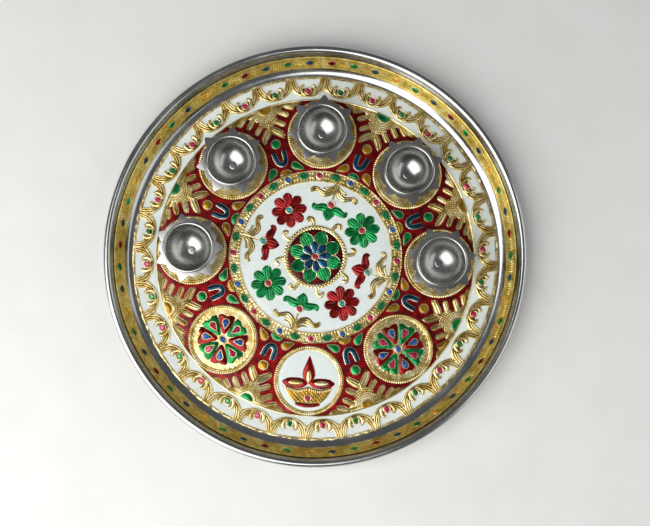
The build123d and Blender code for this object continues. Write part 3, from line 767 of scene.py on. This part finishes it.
def cut_glass(name, light, body, deep):
    """Foil-backed glass in one deep colour, with painted sparkle: a cell pattern lays light and dark flecks
    on it.
    """
    material, tree = new_material(name)
    coords = node(tree, "TexCoord").outputs["Object"]
    painted_sparkle = node(tree, "TexVoronoi", {"Vector": coords, "Scale": 1 / (0.9 * mm)})
    # Painted sparkle: light flecks near the cell points, deep colour between them.
    colour = node(tree, "ValToRGB", {"Fac": painted_sparkle.outputs["Distance"]},
                  stops=((0.1, light), (0.4, body), (0.8, deep)))
    shader = node(tree, "BsdfPrincipled", {
        "Base Color": colour.outputs["Color"], "Metallic": 0.45, "Roughness": 0.08, "IOR": 1.52,
        "Coat Weight": 1.0, "Coat Roughness": 0.02,
    })
    node(tree, "OutputMaterial", {"Surface": shader.outputs["BSDF"]})
    return material


def cut_stone(rim, z, height, table):
    """A stone cut to an anticlockwise outline: a low girdle, slanted facets and a flat table."""
    bpy.ops.object.select_all(action="DESELECT")
    bpy.ops.mesh.primitive_circle_add(vertices=len(rim), radius=1, fill_type="NGON")
    piece = bpy.context.object
    for point, place in zip(piece.data.vertices, rim):
        point.co = (place[0] * mm, place[1] * mm, z * mm)
    bpy.ops.object.mode_set(mode="EDIT")
    bpy.ops.mesh.select_all(action="SELECT")
    bpy.ops.mesh.normals_make_consistent(inside=False)
    girdle = {"value": (0, 0, 0.3 * height * mm)}
    bpy.ops.mesh.extrude_region_move(TRANSFORM_OT_translate=girdle)
    bpy.ops.mesh.inset(thickness=table * 0.55 * mm, depth=0.4 * height * mm)
    bpy.ops.mesh.inset(thickness=table * 0.45 * mm, depth=0.3 * height * mm)
    close_up()
    return piece


def round_cut():
    corners = [pi * i / 6 for i in range(12)]
    return cut_stone([(stone_r * cos(a), stone_r * sin(a)) for a in corners], 0, stone_h, 0.85)


def round_cup():
    bpy.ops.object.select_all(action="DESELECT")
    bpy.ops.mesh.primitive_torus_add(major_radius=(stone_r + 0.2) * mm, minor_radius=0.36 * mm,
                                     major_segments=24, minor_segments=8)
    cup = bpy.context.object
    cup.data.transform(Matrix.Translation((0, 0, 0.15 * mm)))
    return cup


pink_glass = cut_glass("pink_glass", "FF7FB0", "DB1F6C", "7E0A3A")
blue_glass = cut_glass("blue_glass", "9ACBFF", "2068D0", "0C2E78")
green_glass = cut_glass("green_glass", "4CDC95", "098848", "034A25")
aqua_glass = cut_glass("aqua_glass", "B5F2F4", "36BFC9", "0E6C78")
flower_spots = {"pink": [], "aqua": []}
for colour, turns in (("pink", (0, 180)), ("aqua", (90, 270))):
    for turn in turns:
        flower_spots[colour].append(clock_place(flower_pitch, flower_clock + turn, lift=relief_z))
        flower_spots[colour].append(clock_place(spray_pitch, spray_clock + turn, lift=relief_z))
swag_spots = [clock_place(102.9, swag_step * (i + 0.5), lift=relief_z) for i in range(swag_count)]
wheel_middles = [clock_place(pitch_r, clock, lift=1.5) for clock in wheels]
lamp_spot = [lamp_place @ Matrix.Translation((0, -10.6 * mm, relief_z * mm))]
band_pink_spots = [clock_place(band_mid, clock, lift=band_z) for clock in medallion_clocks]
band_blue_spots = [clock_place(band_mid, clock, lift=band_z) for clock in sectors]
round_sets = [
    ("centre_stone", pink_glass, "pink_glass", [clock_place(0, 0, lift=1.5)]),
    ("flower_stones_pink", pink_glass, "pink_glass", flower_spots["pink"]),
    ("flower_stones_aqua", aqua_glass, "aqua_glass", flower_spots["aqua"]),
    ("garland_stones_green", green_glass, "green_glass", swag_spots[0::2]),
    ("garland_stones_pink", pink_glass, "pink_glass", swag_spots[1::2]),
    ("band_stones_pink", pink_glass, "pink_glass", band_pink_spots),
    ("band_stones_blue", blue_glass, "blue_glass", band_blue_spots),
    ("wheel_centre_stones", blue_glass, "blue_glass", wheel_middles),
    ("lamp_stone", pink_glass, "pink_glass", lamp_spot),
]
cups = []
for name, glass, slot, spots in round_sets:
    fit(laid(round_cut(), spots), name.replace("stone", "cut_stone"), glass, slot, "tray", name, smooth=5)
    cups.append(laid(round_cup(), spots))
marquise = outline([(0, -3.6), (1.65, -2.1), (2.35, 0), (1.65, 2.1), (0, 3.6)], 6)
marquise_cup = outline([(0, -4.1), (2.0, -2.3), (2.75, 0), (2.0, 2.3), (0, 4.1)], 8)
marquise_spots = [clock_place(band_mid, 11.25 + 22.5 * i, 90, lift=band_z) for i in range(16)]
fit(laid(cut_stone(marquise, 0, stone_h, 0.7), marquise_spots), "band_cut_stones_green", green_glass,
    "green_glass", "tray", "band_stones_green", smooth=5)
cups.append(laid(cell(marquise_cup, -0.5, 0.45, 0.1, 0.1, 0.7, 0.0), marquise_spots))
drop = outline([(0, -3.9), (0.7, -2.8), (1.5, -1.0), (1.85, 0.35), (1.3, 1.5), (0, 1.95)], 6)
drop_cup = outline([(0, -4.6), (1.0, -3.1), (2.0, -1.1), (2.4, 0.4), (1.7, 2.0), (0, 2.6)], 10)
for petal_colour, glass, stone_colour in (("red", blue_glass, "blue"), ("green", pink_glass, "pink")):
    spots = [place @ Matrix.Translation((0, 10.6 * mm, relief_z * mm)) for place in wheel_spots[petal_colour]]
    fit(laid(cut_stone(drop, 0, stone_h, 0.7), spots), f"wheel_cut_stones_{stone_colour}", glass,
        f"{stone_colour}_glass", "tray", f"wheel_stones_{stone_colour}", smooth=5)
    cups.append(laid(cell(drop_cup, -0.5, 0.55, 0.1, 0.1, 0.7, 0.0), spots))
fit(together(*cups), "stone_cups", gilt, "gilt", "tray", "embossed_foil")

# Rim strips: two lengths of gilt strip pressed with a running vine and glued round the inside of the
# wall, so that their ends nearly meet at the far and near sides.
wall_foot = (115.81, 2.28)
wall_run, wall_rise = cos(radians(wall_angle)), sin(radians(wall_angle))
strip_low, strip_w, strip_t, glue_t = 1.5, 8.7, 0.3, 0.2
seam_clock = -1.5
right_run = (29, ["red", "green", "blue", "orange", "green", "blue"])
left_run = (17, ["red", "blue", "green", "orange", "blue", "green"])
last_run = (9, ["red", "green", "blue", "orange", "green", "red", "blue", "green", "blue"])
drop_runs = [right_run, left_run, last_run]
drop_colours = [order[i % len(order)] for count, order in drop_runs for i in range(count)]
drop_step = 360 / len(drop_colours)
right_arc = right_run[0] * drop_step
back_from = 0.84
rim_gilt = gilding("rim_gilt_foil", "FBEDA6", "ECD374", "CFB04E", 0.42)


def strip_run(start, sweep):
    """Shape of a strip from a clock angle: a band on the wall's slope, pressed with a vine and leaves."""
    def shape(u, v):
        clock = start + sweep * (0.5 + 0.4997 * u)
        front = v <= back_from
        w = v / back_from if front else (1 - v) / (1 - back_from)
        up = strip_low + strip_w * w
        out, shade_or_bare = glue_t, 0.0
        if front and 0 < w < 1:
            wave = 2 * pi * (clock - seam_clock) / drop_step
            vine = 0.3 * exp(-(((w - 0.5) - 0.28 * cos(wave)) / 0.09) ** 2)
            leaves = max(0.0, cos(9 * wave + 14 * abs(w - 0.5))) * max(0.0, 1 - abs(w - 0.5) * 2.2)
            leaves *= min(1.0, 1 + cos(wave))
            lines = exp(-((w - 0.08) / 0.05) ** 2) + exp(-((w - 0.92) / 0.05) ** 2)
            out += strip_t + 0.15 * vine + 0.4 * leaves + 0.15 * lines
            # Painted shade: the flat strip between the raised vine, leaves and lines is marked to be darkened
            # brown.
            shade_or_bare = 0.3 * max(0.0, 1 - vine - leaves - lines)
        r = wall_foot[0] + wall_run * up - wall_rise * out
        z = wall_foot[1] + wall_rise * up + wall_run * out
        return r * sin(radians(clock)), r * cos(radians(clock)), z, shade_or_bare
    return shape


for name, start, sweep in (
    ("right", seam_clock, right_arc),
    ("left", seam_clock + right_arc, 360 - right_arc),
):
    strip = pressed(1500, 25, strip_run(start, sweep))
    fit(strip, f"rim_vine_strip_{name}", rim_gilt, "gilt", "tray", f"rim_strip_{name}")

# Rim drops: pointed ovals of lacquer in thin raised outlines, evenly spaced along the strips, in an
# order of colours that changes from one strip to the other.
orange = lacquer("orange_lacquer", "EDB632", "D89A18", "A67008", 0.4)
rim_blue = lacquer("rim_blue_lacquer", "2A5A66", "163A46", "0A2028", 0.4)
drop_finishes = {"blue": rim_blue, "green": green, "red": scarlet, "orange": orange}
drop_up = strip_low + strip_w / 2
drop_r = wall_foot[0] + wall_run * drop_up - wall_rise * (glue_t + strip_t)
drop_z = wall_foot[1] + wall_rise * drop_up + wall_run * (glue_t + strip_t)
drop_spots = {colour: [] for colour in drop_finishes}
for i, colour in enumerate(drop_colours):
    place = clock_place(drop_r, seam_clock + (i + 0.5) * drop_step, lift=drop_z, tilt=wall_angle)
    drop_spots[colour].append(place @ Matrix.Rotation(pi / 2, 4, "Z"))
oval = outline([(0, -2.8), (1.15, -1.6), (1.7, 0), (1.15, 1.6), (0, 2.8)], 8)
for colour, finish in drop_finishes.items():
    drops = laid(cell(oval, -0.2, 0.3, 0.25, 0.45, 0.2, 0.5), drop_spots[colour])
    fit(drops, f"rim_drops_of_{colour}", finish, f"{colour}_enamel", "tray", f"rim_drops_{colour}")

# Katori: five small bowls of polished stainless steel that stand loose on the medallions. Each is drawn
# from one sheet, with a rounded lip and a thin brim cut into seven pointed petals with small lobes
# between them.
bowl_steel = spun_steel("polished_bowl_steel", 1.1, 0.24, "A9AAA6", "B9BAB6")
cup_at = (-2.2, 15.4)
lip_at = (14.45, 15.4)
lip_r = 0.9
cup_section = [(0, 0), (4.6, 0), (5.0, 0.05)]
cup_section += arc(cup_at, 17.0, -64.6, -5, 16)
cup_section += arc(lip_at, lip_r, -70, 200, 16)
cup_section += arc((0, 15.1), 14.4, -3, -80, 28) + [(2.2, 1.08), (1.8, 1.12), (0, 1.08)]
bowl_turns = {"left": (270, 35.5), "upper_left": (315, -0.1), "top": (0, 1.4), "upper_right": (45, 15.2),
              "right": (90, 25.4)}
brim_root = 14.6
brim_z = 14.0
brim_t = 0.5
petal_step = 2 * pi / 7
brim_reach = [21.6, 20.7, 19.4, 18.3, 17.3, 16.8, 17.5, 17.9, 17.9, 18.0]


def brim(u, v):
    turn = pi * u
    off = abs((turn + petal_step / 2) % petal_step - petal_step / 2) / (petal_step / 2)
    out = 1 - abs(2 * v - 1)
    r = brim_root + (ease(brim_reach, off) - brim_root) * out
    sag = 0.5 * ((r - brim_root) / 6.5) ** 2 + 0.12 * (1 - off) * out
    thick = brim_t if v < 0.5 else 0.0
    return r * sin(turn), r * cos(turn), brim_z + thick - sag, 0.0


for name, (clock, turn) in bowl_turns.items():
    place = clock_place(pitch_r, clock, lift=foil_z) @ Matrix.Rotation(radians(clock - turn), 4, "Z")
    bowl = together(turned(cup_section, 128), pressed(280, 15, brim, "bridge"))
    fit(laid(bowl, [place]), f"katori_bowl_{name}", bowl_steel, "steel", f"bowl_{name}", f"katori_{name}",
        smooth=30)

# Studio: a plain table top of matt pale paper, a large soft light low on the left and a weaker one on the
# right, as the highlights on the rim and in the bowls show, and a camera over the tray, leaning to its
# near side.
bpy.ops.object.select_all(action="DESELECT")
bpy.ops.mesh.primitive_plane_add(size=6)
floor = bpy.context.object
floor.name = "table_top"
table_paper, tree = new_material("pale_paper")
coords = node(tree, "TexCoord").outputs["Object"]
fibre = node(tree, "TexNoise", {"Vector": coords, "Scale": 1 / (30 * mm), "Detail": 6.0})
tone = node(tree, "ValToRGB", {"Fac": fibre.outputs["Fac"]}, stops=((0.3, "E4E2DE"), (0.7, "E9E7E4")))
shader = node(tree, "BsdfPrincipled", {"Base Color": tone.outputs["Color"], "Roughness": 0.9})
node(tree, "OutputMaterial", {"Surface": shader.outputs["BSDF"]})
floor.data.materials.append(table_paper)


def softbox(name, place, aim, width, height, power, tint):
    """A rectangular soft light that faces a point."""
    lamp = bpy.data.lights.new(name, "AREA")
    lamp.shape = "RECTANGLE"
    lamp.size, lamp.size_y, lamp.energy, lamp.color = width, height, power, paint(tint)[:3]
    holder = bpy.data.objects.new(name, lamp)
    bpy.context.collection.objects.link(holder)
    holder.location = place
    holder.rotation_euler = (Vector(aim) - Vector(place)).to_track_quat("-Z", "Y").to_euler()


softbox("key_softbox", (-0.434, -0.364, 0.49), (0, 0, 0), 0.9, 1.2, 10.2, "FFFFFF")
softbox("side_softbox", (0.8, -0.1, 0.4), (0, 0, 0), 1.1, 0.8, 3.0, "FFFFFF")
world = bpy.data.worlds.new("studio")
bpy.context.scene.world = world
world.use_nodes = True
world.node_tree.nodes.clear()
room = node(world.node_tree, "Background", {"Color": paint("B8B8BC"), "Strength": 0.3})
node(world.node_tree, "OutputWorld", {"Surface": room.outputs["Background"]})

picture_turn = radians(3.1)
picture_right = Vector((cos(picture_turn), sin(picture_turn), 0))
picture_up = Vector((-sin(picture_turn), cos(picture_turn), 0))
camera_tilt = radians(2.5)
camera_shift = 0.08
camera_far = 554 * mm
frame_width = camera_far * 36 / 50
aim = picture_right * 5.9 * mm - picture_up * 3.8 * mm
axis_foot = aim - picture_up * camera_shift * frame_width
back = Vector((0, 0, 1)) * cos(camera_tilt) - picture_up * sin(camera_tilt)
head = Vector((0, 0, 1)) * sin(camera_tilt) + picture_up * cos(camera_tilt)
lens = bpy.data.cameras.new("camera")
lens.sensor_width = 36.0
lens.lens = 50.0
lens.shift_y = camera_shift
lens.clip_start = 0.01
camera = bpy.data.objects.new("camera", lens)
bpy.context.collection.objects.link(camera)
turn = Matrix((picture_right, head, back)).transposed()
camera.matrix_world = Matrix.Translation(axis_foot + back * camera_far) @ turn.to_4x4()
bpy.context.scene.camera = camera
bpy.context.scene.view_settings.view_transform = "Standard"
